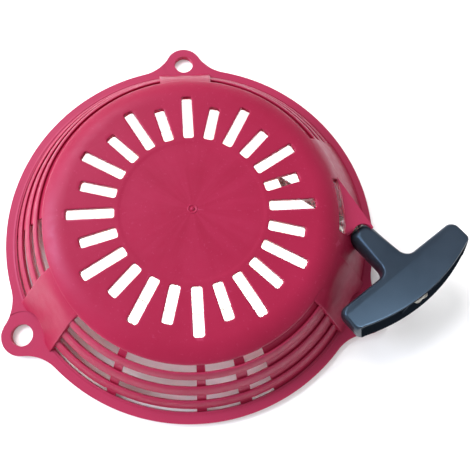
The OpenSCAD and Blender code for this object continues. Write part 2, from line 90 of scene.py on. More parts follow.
# two points on the slanted side of the room behind the wedge
GUIDE_SLANT = ((67.6, 12.6), (76.2, -7.8))
GUIDE_CHANNEL = ((50, 12.2), (65.4, 12.2), (76.2, -7.8), (50, -9.4))
GUIDE_SLOT = (64.4, 68.2)
GUIDE_SLOT_ANGLES = (-11.0, 11.0)
GUIDE_FLOOR_Y = -10.2
NOTCH_CENTRE, NOTCH_R, NOTCH_Z, NOTCH_TOP = (75.6, -13.2), 4.8, 22, 40
POST_R, POST_END = 7.0, 6.2
AZIMUTH, RISE, ROLL = math.radians(-57.2), math.radians(14), math.radians(3)
PULL = Vector((math.cos(RISE) * math.cos(AZIMUTH), math.cos(RISE) * math.sin(AZIMUTH), math.sin(RISE)))
STEM_IN, EYELET_FACE = 1.2, -2.6
SEAT = Vector((76.1, -11.0, 19.6)) - PULL * STEM_IN
GRIP_FRAME = (Matrix.Translation(SEAT) @ Matrix.Rotation(AZIMUTH, 4, "Z")
              @ Matrix.Rotation(-RISE, 4, "Y") @ Matrix.Rotation(ROLL, 4, "X"))


def outer_z(r):
    if r <= FACE_R:
        return FACE_H
    if r <= SHOULDER_END_R:
        return FACE_H - SHOULDER_R + math.sqrt(SHOULDER_R ** 2 - (r - FACE_R) ** 2)
    return max(FLANGE_T, SHOULDER_END_Z - (r - SHOULDER_END_R) * WALL_TAN)


def inner_z(r):
    if r <= FACE_R:
        return FACE_H - WALL
    if r <= INNER_END_R:
        return FACE_H - SHOULDER_R + math.sqrt(INNER_SHOULDER ** 2 - (r - FACE_R) ** 2)
    return max(0.0, INNER_END_Z - (r - INNER_END_R) * WALL_TAN)


# ------------------------------------------------------------------ mesh helpers
def to_object(name, verts, faces, smooth=True):
    """A new object from points in mm."""
    mesh = bpy.data.meshes.new(name)
    mesh.from_pydata([tuple(c * MM for c in v) for v in verts], [], faces)
    mesh.validate()
    bm = bmesh.new()
    bm.from_mesh(mesh)
    bmesh.ops.recalc_face_normals(bm, faces=bm.faces)
    bm.to_mesh(mesh)
    bm.free()
    for p in mesh.polygons:
        p.use_smooth = smooth
    obj = bpy.data.objects.new(name, mesh)
    bpy.context.scene.collection.objects.link(obj)
    return obj


def apply_modifiers(obj):
    bpy.context.view_layer.update()
    deps = bpy.context.evaluated_depsgraph_get()
    mesh = bpy.data.meshes.new_from_object(obj.evaluated_get(deps))
    obj.modifiers.clear()
    obj.data = mesh
    return obj


def bevel(obj, width, segments=2, angle=35):
    """Rounded edges wherever two faces meet at more than this angle."""
    m = obj.modifiers.new("edge", "BEVEL")
    m.width = width * MM
    m.segments = segments
    m.limit_method = "ANGLE"
    m.angle_limit = math.radians(angle)
    m.miter_outer = "MITER_ARC"
    return apply_modifiers(obj)


def cut(obj, *cutters, operation="DIFFERENCE"):
    for c in cutters:
        m = obj.modifiers.new("cut", "BOOLEAN")
        m.operation = operation
        m.solver = "EXACT"
        m.object = c
        apply_modifiers(obj)
        bpy.data.objects.remove(c)
    return obj


def smooth_by_angle(obj, degrees=32):
    for p in obj.data.polygons:
        p.use_smooth = True
    obj.data.set_sharp_from_angle(angle=math.radians(degrees))
    return obj


def join(name, objs):
    """One object from several, in world coordinates."""
    bm = bmesh.new()
    for o in objs:
        mesh = o.data.copy()
        mesh.transform(o.matrix_world)
        bm.from_mesh(mesh)
        bpy.data.meshes.remove(mesh)
    merged = bpy.data.meshes.new(name)
    bm.to_mesh(merged)
    bm.free()
    for o in objs:
        bpy.data.objects.remove(o)
    obj = bpy.data.objects.new(name, merged)
    bpy.context.scene.collection.objects.link(obj)
    return obj


def prism(name, outline, z_low, z_high):
    """Closed prism from a flat outline that runs anticlockwise."""
    n = len(outline)
    verts = [(x, y, z_low) for x, y in outline] + [(x, y, z_high) for x, y in outline]
    faces = [tuple(range(n - 1, -1, -1)), tuple(range(n, 2 * n))]
    faces += [(i, (i + 1) % n, n + (i + 1) % n, n + i) for i in range(n)]
    return to_object(name, verts, faces, smooth=False)


def revolve(name, profile, steps=120, frame_matrix=None, start=0.0, sweep=360.0):
    """Closed solid from a closed half section of (radius, height) points."""
    whole = abs(sweep - 360.0) < 1e-6
    count = steps if whole else steps + 1
    n = len(profile)
    verts = []
    for k in range(count):
        a = start + sweep * k / steps
        verts += [(*polar(r, a), z) for r, z in profile]
    faces = []
    for k in range(steps):
        k2 = (k + 1) % count
        for i in range(n):
            j = (i + 1) % n
            faces.append((k * n + i, k2 * n + i, k2 * n + j, k * n + j))
    if not whole:
        faces += [tuple(range(n)), tuple(range((count - 1) * n + n - 1, (count - 1) * n - 1, -1))]
    if frame_matrix is not None:
        verts = [tuple(frame_matrix @ Vector(v)) for v in verts]
    obj = to_object(name, verts, faces)
    bm = bmesh.new()
    bm.from_mesh(obj.data)
    bmesh.ops.remove_doubles(bm, verts=bm.verts, dist=1e-7)
    bmesh.ops.dissolve_degenerate(bm, dist=1e-7, edges=bm.edges)
    bmesh.ops.recalc_face_normals(bm, faces=bm.faces)
    bm.to_mesh(obj.data)
    bm.free()
    return obj


def block(name, low, high, turn=0.0):
    c, s = math.cos(math.radians(turn)), math.sin(math.radians(turn))
    outline = [(x * c - y * s, x * s + y * c) for x, y in
               ((low[0], low[1]), (high[0], low[1]), (high[0], high[1]), (low[0], high[1]))]
    return prism(name, outline, low[2], high[2])


# ------------------------------------------------------------------ housing shell
COLS, PER_SLOT = 480, 20
LIP = 0.35          # radius of the rounded lips of the slots, in mm
SLOT_Y = [-(SLOT_HALF + LIP), -2.2, -1.7, -0.9, 0.0, 0.9, 1.7, 2.2, SLOT_HALF + LIP]


def groove_share(deg):
    """How deep the hoop grooves are at an angle, from 0 to 1: they stop beside the rope guide."""
    a = deg % 360
    return smoothstep((a - 29.4) / 1.4) * smoothstep((324.6 - a) / 1.4)


def ridge_drop(r):
    """Share of the groove's depth by which the surface lies below the plain wall."""
    if r < GROOVES[0][0]:
        t = min(1.0, max(0.0, (r - GROOVES[0][0] + 0.7) / 0.7))
        return (1 - math.sqrt(1 - t * t)) * 0.35
    for low, high in GROOVES:
        if low <= r <= high:
            return 1.0
    for (_, a), (b, _) in zip(GROOVES, GROOVES[1:]):
        if a < r < b:
            u = abs(2 * (r - a) / (b - a) - 1)
            return 1 - (1 - u ** 2.4) ** (1 / 2.4)
    return 0.0


def slot_distance(x, y):
    """Signed distance in plan from the nearest slot's edge, negative inside the slot."""
    a = math.degrees(math.atan2(y, x))
    i = round(a * SLOT_N / 360) % SLOT_N
    c, s = math.cos(math.radians(i * 360 / SLOT_N)), math.sin(math.radians(i * 360 / SLOT_N))
    u, v = x * c + y * s, -x * s + y * c
    end = SLOT_LONG if i % 2 == 0 else SLOT_SHORT
    qx = abs(u - (SLOT_IN + end) / 2) - (end - SLOT_IN) / 2 + SLOT_CORNER
    qy = abs(v) - SLOT_HALF + SLOT_CORNER
    return math.hypot(max(qx, 0), max(qy, 0)) + min(max(qx, qy), 0) - SLOT_CORNER


def guide_distance(x, y):
    """The same for the opening under the rope guide: its slot beside the dome, and the room behind that."""
    r, a = math.hypot(x, y), math.atan2(y, x)
    if abs(a) > 1.2:
        return r
    first, last = (math.radians(v) for v in GUIDE_SLOT_ANGLES)
    above = r * math.sin(a - last)
    slot = max(GUIDE_SLOT[0] - r, r - GUIDE_SLOT[1], r * math.sin(first - a), above)
    (ax, ay), (bx, by) = GUIDE_SLANT
    ex, ey = bx - ax, by - ay
    beyond = ((y - ay) * ex - (x - ax) * ey) / math.hypot(ex, ey)
    return min(slot, max(GUIDE_SLOT[0] + 1 - r, GUIDE_FLOOR_Y - y, above, beyond))


def hole_distance(x, y):
    return min(slot_distance(x, y), guide_distance(x, y)) - LIP


def gradient(fn, x, y):
    e = 1e-3
    g = ((fn(x + e, y) - fn(x - e, y)) / (2 * e), (fn(x, y + e) - fn(x, y - e)) / (2 * e))
    n = math.hypot(*g) or 1.0
    return g[0] / n, g[1] / n


def ring_radii():
    slot_rows = [31.6, 32.3, 32.85, 33.2, 33.7, 34.3, 36, 39, 42, 45, 47, 47.6, 48.1, 48.6, 48.95,
                 49.6, 51, 51.9, 52.4, 52.9, 53.35]
    shoulder = [54, 55.3, 56.6, 57.9, 59.2, 60.5, 61.8, 62.9, 63.6, 63.95, 64.18]
    rows = [30.0, 31.0] + slot_rows + shoulder
    u = [0.965, 0.84, 0.58, 0.2]
    for k, (a, b) in enumerate(GROOVES):
        rows += [a, a + 0.7, b - 0.7, b] if k else [a, 65.1, 66.2, b]
        if k + 1 < len(GROOVES):
            c, h = (b + GROOVES[k + 1][0]) / 2, (GROOVES[k + 1][0] - b) / 2
            rows += [c - h * t for t in u] + [c + h * t for t in reversed(u)]
    rows = [r for r in rows if r != GROOVES[3][1] - 0.7]
    return sorted(rows + [INNER_BASE_R, WALL_FOOT_R - 0.1, 87.4])


def column_angle(c, r):
    """Angle in degrees of a column at a radius: beside the slots columns run parallel to them."""
    sector, m = divmod(c, PER_SLOT)
    even = (c - 4) * 360 / COLS
    if r >= 63:
        return even
    rr = max(r, SLOT_IN - 1)
    base = sector * 360 / SLOT_N
    if m <= 8:
        own = base + math.degrees(math.asin(SLOT_Y[m] / rr))
    else:
        first = base + math.degrees(math.asin(SLOT_Y[8] / rr))
        last = base + 360 / SLOT_N + math.degrees(math.asin(SLOT_Y[0] / rr))
        own = first + (last - first) * (m - 8) / (PER_SLOT - 8)
    return own + (even - own) * smoothstep((r - 54) / 9)


def build_shell():
    radii = ring_radii()
    bolts = [polar(BOLT_R, a) for a in EARS]
    plan, top, low = [], [], []
    for r in radii:
        for c in range(COLS):
            a = column_angle(c, r)
            x, y = polar(r, a)
            drop = ridge_drop(r) * groove_share(a)
            z = outer_z(r) - GROOVE_DEPTH * drop if r < WALL_FOOT_R else FLANGE_T - 0.1
            if r <= 31.0:
                z -= 0.12 * smoothstep((31.2 - r) / 0.3)
            under = inner_z(r) if r < 87 else 0.1
            if r > BOLT_R - SPOT_R - 1 and min(math.dist((x, y), b) for b in bolts) < SPOT_R + 0.9:
                z, under = min(z, FLANGE_T - SPOT_DEPTH - 0.05), min(under, 1.0)
            plan.append([x, y])
            top.append(z)
            low.append(under)
    dist = [1.0] * len(plan)
    for i, (x, y) in enumerate(plan):
        r = math.hypot(x, y)
        if r < 54.5 or (64.5 < r < 84 and abs(y) < 16 and x > 0):
            d = hole_distance(x, y)
            if abs(d) < 0.09:
                g = gradient(hole_distance, x, y)
                plan[i] = [x - g[0] * d, y - g[1] * d]
                d = 0.0
            dist[i] = d
    cuts, faces = {}, []

    def crossing(i, j):
        key = (min(i, j), max(i, j))
        if key not in cuts:
            i, j = key
            t = dist[i] / (dist[i] - dist[j])
            cuts[key] = len(plan)
            x = plan[i][0] + (plan[j][0] - plan[i][0]) * t
            y = plan[i][1] + (plan[j][1] - plan[i][1]) * t
            d = hole_distance(x, y)
            g = gradient(hole_distance, x, y)
            plan.append([x - g[0] * d, y - g[1] * d])
            top.append(top[i] + (top[j] - top[i]) * t)
            low.append(low[i] + (low[j] - low[i]) * t)
            dist.append(0.0)
        return cuts[key]

    for k in range(len(radii) - 1):
        mid_r = (radii[k] + radii[k + 1]) / 2
        in_groove = any(a < mid_r < min(b, INNER_BASE_R - 0.1) for a, b in GROOVES)
        for c in range(COLS):
            c2 = (c + 1) % COLS
            quad = [k * COLS + c, (k + 1) * COLS + c, (k + 1) * COLS + c2, k * COLS + c2]
            if in_groove:
                a = ((c - 3.5) * 360 / COLS) % 360
                if any(s < a < e for s, e in OPEN_SECTORS):
                    continue
            kept = [dist[i] >= 0 for i in quad]
            if all(kept) and not all(dist[i] == 0 for i in quad):
                faces.append(quad)
                continue
            poly = []
            for n in range(4):
                i, j = quad[n], quad[(n + 1) % 4]
                if dist[i] >= 0:
                    poly.append(i)
                if dist[i] * dist[j] < 0:
                    poly.append(crossing(i, j))
            if len(poly) > 2 and any(dist[i] > 0 for i in poly):
                faces.append(poly)
    # the middle of the face, in ever fewer columns
    inner_rings = [(27, 96), (20, 96), (10, 48), (5, 48), (3, 48), (2.25, 48), (2.05, 48), (1.75, 48),
                   (1.55, 48), (1.0, 24), (0.75, 24), (0.45, 24)]
    lift = {2.05: 0.16, 1.75: 0.16, 2.25: 0.0, 1.55: 0.0, 1.0: -0.1, 0.75: 0.28, 0.45: 0.42}
    outer = list(range(COLS))
    sunk = FACE_H - 0.12
    for r, count in inner_rings:
        step = len(outer) // count
        ring = []
        for c in range(count):
            a = (c * (COLS // count) - 4) * 360 / COLS
            ring.append(len(plan))
            plan.append(list(polar(r, a)))
            top.append(sunk + lift.get(r, 0.0))
            low.append(inner_z(r))
            dist.append(1.0)
        for c in range(count):
            c2 = (c + 1) % count
            arc = [outer[(c * step + n) % len(outer)] for n in range(step + 1)]
            faces.append([ring[c]] + arc + [ring[c2]])
        outer = ring
    centre = len(plan)
    plan.append([0.0, 0.0])
    top.append(sunk + 0.46)
    low.append(inner_z(0))
    dist.append(1.0)
    faces += [[centre, outer[c], outer[(c + 1) % len(outer)]] for c in range(len(outer))]

    # outer and inner surfaces, joined round every opening
    n = len(plan)
    verts = [(x, y, z) for (x, y), z in zip(plan, top)]
    verts += [(x, y, z) for (x, y), z in zip(plan, low)]
    both = [list(f) for f in faces] + [[i + n for i in reversed(f)] for f in faces]
    used = {}
    for f in faces:
        for i, j in zip(f, f[1:] + f[:1]):
            used[(i, j)] = used.get((i, j), 0) + 1
    edge = [(i, j) for (i, j) in used if (j, i) not in used]
    columns = {}

    def column(i):
        """Points down one place on an opening's edge, from the outer to the inner surface."""
        if i not in columns:
            x, y = plan[i]
            chain = [i]
            if dist[i] == 0.0:
                gx, gy = gradient(hole_distance, x, y)
                for deg in (30, 60, 90):
                    reach = LIP * math.sin(math.radians(deg))
                    fall = LIP * (1 - math.cos(math.radians(deg)))
                    chain.append(len(verts))
                    verts.append((x - gx * reach, y - gy * reach, top[i] - fall))
                for deg in (90, 45):
                    reach = LIP * math.sin(math.radians(deg))
                    fall = LIP * (1 - math.cos(math.radians(deg)))
                    chain.append(len(verts))
                    verts.append((x - gx * reach, y - gy * reach, low[i] + fall))
            chain.append(i + n)
            columns[i] = chain
        return columns[i]

    for i, j in edge:
        a, b = column(i), column(j)
        if len(a) == len(b):
            both += [[a[m], a[m + 1], b[m + 1], b[m]] for m in range(len(a) - 1)]
        else:
            both.append(a + b[::-1])
    return to_object("shell", verts, both)


# ------------------------------------------------------------------ the rest of the housing
def ear_curve():
    """Outline of one ear about the X axis, from the flange and back, without the flange's arc."""
    reach = FLANGE_R + EAR_BLEND_R
    blend = math.acos((reach ** 2 + BOLT_R ** 2 - (EAR_R + EAR_BLEND_R) ** 2) / (2 * reach * BOLT_R))
    cx, cy = reach * math.cos(blend), reach * math.sin(blend)
    meet = math.atan2(cy, cx - BOLT_R)
    half = []
    for k in range(13):
        t = math.pi + blend + (meet - blend) * k / 12
        half.append((cx + EAR_BLEND_R * math.cos(t), cy + EAR_BLEND_R * math.sin(t)))
    for k in range(1, 17):
        t = meet * (1 - k / 16)
        half.append((BOLT_R + EAR_R * math.cos(t), EAR_R * math.sin(t)))
    return half, math.degrees(blend)


def build_plate():
    half, blend = ear_curve()
    outline = []
    for ear in EARS:
        c, s = math.cos(math.radians(ear)), math.sin(math.radians(ear))
        whole = [(x, -y) for x, y in half] + [(x, y) for x, y in reversed(half[:-1])]
        outline += [(x * c - y * s, x * s + y * c) for x, y in whole]
        arc = 120 - 2 * blend
        steps = 64
        outline += [polar(FLANGE_R, ear + blend + arc * k / steps) for k in range(1, steps)]
    inside = []
    for a in np.arange(0, 360, 1.0):
        off = math.radians(min(abs((a - ear + 180) % 360 - 180) for ear in EARS))
        gap = (SPOT_R + 1) ** 2 - (BOLT_R * math.sin(off)) ** 2
        web = BOLT_R * math.cos(off) - math.sqrt(gap) if gap > 0 else INNER_BASE_R
        inside.append(polar(min(INNER_BASE_R, web), a))
    bm = bmesh.new()
    loops = [outline, inside[::-1]]
    loops += [[(bx + HOLE_R * math.cos(t), by - HOLE_R * math.sin(t))
               for t in np.linspace(0, 2 * math.pi, 41)[:-1]]
              for bx, by in (polar(BOLT_R, a) for a in EARS)]
    for loop in loops:
        vs = [bm.verts.new((x * MM, y * MM, 0)) for x, y in loop]
        for a, b in zip(vs, vs[1:] + vs[:1]):
            bm.edges.new((a, b))
    bmesh.ops.triangle_fill(bm, use_beauty=True, use_dissolve=False, edges=bm.edges)
    grown = bmesh.ops.extrude_face_region(bm, geom=bm.faces)
    up = [v for v in grown["geom"] if isinstance(v, bmesh.types.BMVert)]
    bmesh.ops.translate(bm, verts=up, vec=(0, 0, FLANGE_T * MM))
    bmesh.ops.recalc_face_normals(bm, faces=bm.faces)
    mesh = bpy.data.meshes.new("plate")
    bm.to_mesh(mesh)
    bm.free()
    obj = bpy.data.objects.new("plate", mesh)
    bpy.context.scene.collection.objects.link(obj)
    spots = []
    for a in EARS:
        place = Matrix.Translation((*polar(BOLT_R, a), 0))
        spots.append(revolve("spot", [(0, FLANGE_T - SPOT_DEPTH), (SPOT_R, FLANGE_T - SPOT_DEPTH),
                                      (SPOT_R, 12), (0, 12)], 72, place))
    cut(obj, *spots)
    return bevel(obj, 0.5, 2, 30)


def build_pad(ear):
    """Ramp that leaves the dome without an edge, flattens, and ends in the round wall of the spot face."""
    foot = FACE_R + (SHOULDER_R + PAD_LIFT) * math.sin(SLOPE)
    foot_z = FACE_H - SHOULDER_R + (SHOULDER_R + PAD_LIFT) * math.cos(SLOPE)
    foot_x = foot + (foot_z - FLANGE_T) / WALL_TAN + 0.1
    start = 61.5

    def flat_z(x):
        if x < foot:
            return FACE_H - SHOULDER_R + math.sqrt((SHOULDER_R + PAD_LIFT) ** 2 - (x - FACE_R) ** 2)
        return foot_z - (x - foot) * WALL_TAN

    shares = [-1, -0.93, -0.86, -0.8, -0.76, -0.72, -0.66, -0.58, -0.48, -0.36, -0.24, -0.12, 0]
    shares += [-v for v in reversed(shares[:-1])]
    parts = [0, 0.05, 0.1, 0.15, 0.2, 0.26, 0.33, 0.41, 0.5, 0.6, 0.7, 0.8, 0.9, 0.96, 1.0]
    verts, faces = [], []
    for share in shares:
        y = PAD_FOOT_HALF * share
        chord = SPOT_R ** 2 - y * y
        end = min(foot_x, BOLT_R - math.sqrt(chord)) if chord > 0 else foot_x
        for t in parts:
            x = start + (end - start) * t
            half = PAD_TOP_HALF + (PAD_FOOT_HALF - PAD_TOP_HALF) * min(1, max(0, (x - 63) / (foot_x - 63)))
            blend = smoothstep((x - 64) / 9)
            plain = outer_z(math.hypot(x, half * share)) - 0.08 + 0.5 * blend
            verts.append((x, half * share, plain + (max(plain, flat_z(x)) - plain) * blend))
    n = len(verts)
    for x, y, z in verts[:n]:
        near = math.hypot(x - BOLT_R, y) < SPOT_R + 1.1
        verts.append((x, y, 0.5 if near else max(0.4, min(z - 1.0, outer_z(math.hypot(x, y)) - 3.1))))
    m = len(parts)
    for i in range(len(shares) - 1):
        for j in range(m - 1):
            a = i * m + j
            faces.append((a, a + m, a + m + 1, a + 1))
            faces.append((a + n, a + n + 1, a + n + m + 1, a + n + m))
    edge = [i * m for i in range(len(shares))] + [(len(shares) - 1) * m + j for j in range(1, m)]
    edge += [i * m + m - 1 for i in reversed(range(len(shares) - 1))] + [j for j in reversed(range(1, m - 1))]
    faces += [(a, b, b + n, a + n) for a, b in zip(edge, edge[1:] + edge[:1])]
    obj = to_object("pad", verts, faces)
    obj.data.transform(Matrix.Rotation(math.radians(ear), 4, "Z"))
    return bevel(obj, 0.4, 2, 40)


def along_pull(name, low, high, r, steps=48):
    turn = GRIP_FRAME @ Matrix.Rotation(math.pi / 2, 4, "Y")
    return revolve(name, [(0, low), (r, low), (r, high), (0, high)], steps, turn)


def in_grip_frame(obj):
    scale = Matrix.Scale(MM, 4)
    obj.data.transform(scale @ GRIP_FRAME @ scale.inverted())
    return obj


def build_guide():
    """Wedge that carries the rope, with its channel, its slot beside the dome and the seat."""
    wedge = prism("guide", list(reversed(GUIDE_OUTLINE)), 1, GUIDE_TOP)
    bm = bmesh.new()
    bm.from_mesh(wedge.data)
    low = [e for e in bm.edges if all(v.co.z > 0.027 and v.co.y < -0.011 for v in e.verts)]
    bmesh.ops.bevel(bm, geom=low, offset=2.6 * MM, segments=6, profile=0.5, affect="EDGES")
    bm.to_mesh(wedge.data)
    bm.free()
    cut(wedge, along_pull("boss", -7, EYELET_FACE, 7.2), operation="UNION")
    mid = WALL / 3
    core = revolve("core", [(0, -1), (INNER_BASE_R + mid + 1 / WALL_TAN, -1),
                            (INNER_END_R + mid, INNER_END_Z),
                            (INNER_END_R - 1.2 + mid, GUIDE_TOP + 1), (0, GUIDE_TOP + 1)], 180)
    channel = prism("channel", list(reversed(GUIDE_CHANNEL)), 11, 25.6)
    slot = revolve("slot", [(58, 16), (GUIDE_SLOT[1], 16), (GUIDE_SLOT[1], 40), (58, 40)], 24,
                   None, GUIDE_SLOT_ANGLES[0], GUIDE_SLOT_ANGLES[1] - GUIDE_SLOT_ANGLES[0])
    notch = revolve("notch", [(0, NOTCH_Z), (NOTCH_R, NOTCH_Z), (NOTCH_R, NOTCH_TOP), (0, NOTCH_TOP)], 48,
                    Matrix.Translation((*NOTCH_CENTRE, 0)))
    bore, pocket = along_pull("bore", -13, 2, 4.6), along_pull("pocket", EYELET_FACE, 14, 7)
    cut(wedge, core, channel, slot, bore, pocket, notch)
    return bevel(wedge, 0.4, 2, 40)


def build_inside():
    """Centre post, spring guard and ribs on the underside of the face."""
    ceiling = FACE_H - WALL + 0.4
    post = revolve("post", [(4.45, POST_END), (POST_R - 0.3, POST_END), (POST_R, POST_END + 0.3),
                            (POST_R, ceiling), (0, ceiling), (0, 20), (3, 20), (3, 14.4), (4.45, 14.4)], 64)
    guard = revolve("guard", [(30.6, 28.1), (30.9, 27.8), (32.1, 27.8), (32.4, 28.1), (32.4, ceiling),
                              (30.6, ceiling)], 160)
    ribs = [bevel(block("rib", (POST_R - 1, -0.9, 29.7), (31, 0.9, ceiling), a + 15), 0.3)
            for a in range(0, 360, 60)]
    return [post, guard] + ribs


# ------------------------------------------------------------------ grip
GRIP_HALF, ARM_IN, ARM_CORNER, STEM_HALF, STEM_BLEND = 33.0, 23.2, 3.4, 5.8, 4.5
BACK_LOW, BACK_SLANT, BACK_SAG = 42.0, 0.185, 5.6
POCKET_IN, POCKET_HALF, POCKET_LOW, POCKET_HIGH = 34.2, 30.4, -5.2, 4.3
RIB_W = 9.4
ROPE_R = 2.0
CREASE, CREASE_SLOPE = 26.4, 0.09


def grip_half(inset, tip, nose, back):
    """Half outline of the grip (distance from the stem's tip, width): always the same number of points."""
    stem, blend, front = STEM_HALF - inset, STEM_BLEND + inset, ARM_IN + inset
    half, corner, nose_r = GRIP_HALF - inset, ARM_CORNER, 2.6
    pts = []
    for k in range(8):
        t = math.pi - math.pi / 2 * k / 7
        pts.append((nose + nose_r + nose_r * math.cos(t), tip - nose_r + nose_r * math.sin(t)))
    first, last = nose + nose_r, front - blend
    for k in range(1, 7):
        share = k / 6.5
        pts.append((first + (last - first) * share, tip + (stem - tip) * share))
    for k in range(13):
        t = -math.pi / 2 + math.pi / 2 * k / 12
        pts.append((front - blend + blend * math.cos(t), stem + blend + blend * math.sin(t)))
    for k in range(1, 5):
        pts.append((front, stem + blend + (half - corner - stem - blend) * k / 5))
    for k in range(8):
        t = math.pi - math.pi / 2 * k / 7
        pts.append((front + corner + corner * math.cos(t), half - corner + corner * math.sin(t)))
    round_back = 2.4
    slope = BACK_SAG / (GRIP_HALF - round_back) ** 2
    end = back - slope * (half - round_back) ** 2
    for k in range(1, 3):
        a = front + corner
        pts.append((a + (end - round_back - a) * k / 3, half))
    for k in range(8):
        t = math.pi / 2 * (1 - k / 7)
        pts.append((end - round_back + round_back * math.cos(t),
                    half - round_back + round_back * math.sin(t)))
    for k in range(1, 13):
        w = (half - round_back) * (1 - k / 12)
        pts.append((back - slope * w * w, w))
    return pts


# height, inset from the widest outline, half width of the stem's tip, its end, and how far the back is in
GRIP_LEVELS = ((-6.3, 3.6, 2.7, 3.2, 0.9), (-6.3, 2.7, 2.7, 2.6, 0.5), (-6.1, 2.1, 3.1, 2.2, 0.25),
               (-5.6, 1.5, 3.7, 1.7, 0.05), (-4.6, 1.0, 4.5, 1.1, 0), (-3.2, 0.65, 5.1, 0.6, 0),
               (-1.4, 0.3, 5.6, 0.2, 0), (0.6, 0.05, 5.8, 0, 0), (2.2, 0, 5.7, 0, 0),
               (3.6, 0.05, 5.3, 0.2, 0), (4.7, 0.2, 4.7, 0.6, 0), (5.5, 0.45, 4.0, 1.2, 0.05),
               (6.0, 0.8, 3.4, 1.9, 0.15), (6.25, 1.15, 2.9, 2.5, 0.3), (6.3, 1.5, 2.7, 3.0, 0.5),
               (6.3, 2.0, 2.7, 3.5, 0.8))


def build_grip():
    verts, faces = [], []
    for t, inset, tip, nose, rounded in GRIP_LEVELS:
        back = BACK_LOW - BACK_SLANT * (t - GRIP_LEVELS[0][0]) - rounded
        half = grip_half(inset, tip, nose, back)
        loop = half + [(a, -w) for a, w in reversed(half[:-1])]
        verts += [(a, w, t) for a, w in loop]
    n = len(loop)
    for k in range(len(GRIP_LEVELS) - 1):
        for i in range(n):
            j = (i + 1) % n
            faces.append((k * n + i, k * n + j, (k + 1) * n + j, (k + 1) * n + i))
    faces.append(tuple(reversed(range(n))))
    faces.append(tuple(range((len(GRIP_LEVELS) - 1) * n, len(GRIP_LEVELS) * n)))
    grip = to_object("grip", verts, faces)
    # the top of the bar falls away behind a soft crease
    bm = bmesh.new()
    bm.from_mesh(grip.data)
    for a in (CREASE - 0.5, CREASE, CREASE + 0.5):
        whole = list(bm.verts) + list(bm.edges) + list(bm.faces)
        bmesh.ops.bisect_plane(bm, geom=whole, plane_co=(a * MM, 0, 0), plane_no=(1, 0, 0))
    for v in bm.verts:
        if v.co.z > 0:
            past = v.co.x / MM - CREASE
            fall = max(0, past) if abs(past) > 0.4 else 0.1
            v.co.z -= CREASE_SLOPE * fall * MM * min(1, v.co.z / (5 * MM))
    bm.to_mesh(grip.data)
    bm.free()
    pocket = prism("pocket", [(POCKET_IN, -POCKET_HALF), (60, -POCKET_HALF), (60, POCKET_HALF),
                              (POCKET_IN, POCKET_HALF)], POCKET_LOW, POCKET_HIGH)
    ribs = [prism("rib", [(POCKET_IN - 2, w - 0.8), (POCKET_IN + 5.2, w - 0.8), (POCKET_IN + 5.2, w + 0.8),
                          (POCKET_IN - 2, w + 0.8)], -9, 9) for w in (-RIB_W, RIB_W)]
    cut(pocket, *ribs)
    bevel(pocket, 0.5, 2, 40)
    bore = revolve("bore", [(0, -3), (ROPE_R + 1.2, -3), (ROPE_R + 1.2, 0.2), (ROPE_R + 0.35, 1.2),
                            (ROPE_R + 0.35, 35), (0, 35)], 40, Matrix.Rotation(math.pi / 2, 4, "Y"))
    cut(grip, pocket, bore)
    return smooth_by_angle(in_grip_frame(grip), 34)


# ------------------------------------------------------------------ rope
def tube(name, points, r, sides=16, ends=True):
    """Tube along points in mm, with its own coordinates stored for the braid: round the rope and along it."""
    pts = [Vector(p) for p in points]
    side = None
    verts, faces, round_along = [], [], []
    travelled = 0.0
    for k, p in enumerate(pts):
        ahead = (pts[min(k + 1, len(pts) - 1)] - pts[max(k - 1, 0)]).normalized()
        if side is None:
            side = ahead.cross(Vector((0, 0, 1))).normalized()
        side = (side - ahead * side.dot(ahead)).normalized()
        up = ahead.cross(side)
        if k:
            travelled += (p - pts[k - 1]).length
        for i in range(sides):
            t = 2 * math.pi * i / sides
            verts.append(p + r * (math.cos(t) * side + math.sin(t) * up))
            round_along.append((math.cos(t), math.sin(t), travelled * MM))
    for k in range(len(pts) - 1):
        for i in range(sides):
            j = (i + 1) % sides
            faces.append((k * sides + i, k * sides + j, (k + 1) * sides + j, (k + 1) * sides + i))
    if ends:
        faces.append(tuple(reversed(range(sides))))
        faces.append(tuple(range((len(pts) - 1) * sides, len(pts) * sides)))
    obj = to_object(name, verts, faces)
    stored = obj.data.attributes.new("braid", "FLOAT_VECTOR", "POINT")
    stored.data.foreach_set("vector", np.array(round_along, np.float32).ravel())
    return obj


ROPE_IN, ROPE_PITCH, ROPE_Z = 31.6, 4.1, 19.0
ROPE_OUT = ROPE_IN + 2 * ROPE_PITCH
BEND_DROP = 1.0
BEND = SEAT - PULL * ((SEAT.z - ROPE_Z + BEND_DROP) / PULL.z)
LEAVE_ANGLE = math.degrees(math.atan2(BEND.y, BEND.x) + math.acos(ROPE_OUT / math.hypot(BEND.x, BEND.y)))
LEAVE = Vector((*polar(ROPE_OUT, LEAVE_ANGLE), ROPE_Z - ROPE_PITCH / 2))


def build_rope_run():
    run = (BEND - LEAVE).normalized()
    before, after = BEND - run * 1.9, BEND + PULL * 1.9
    first = LEAVE + run * 0.4
    pts = [first.lerp(before, k / 24) for k in range(25)]
    for k in range(1, 8):
        t = k / 8
        pts.append(before * (1 - t) ** 2 + BEND * (2 * t * (1 - t)) + after * t * t)
    pts += [after + PULL * (0.3 + 0.5 * k) for k in range(62)]
    return tube("starter_rope", pts, ROPE_R, 16), after + PULL * 0.3, pts[-1] - PULL * 0.5


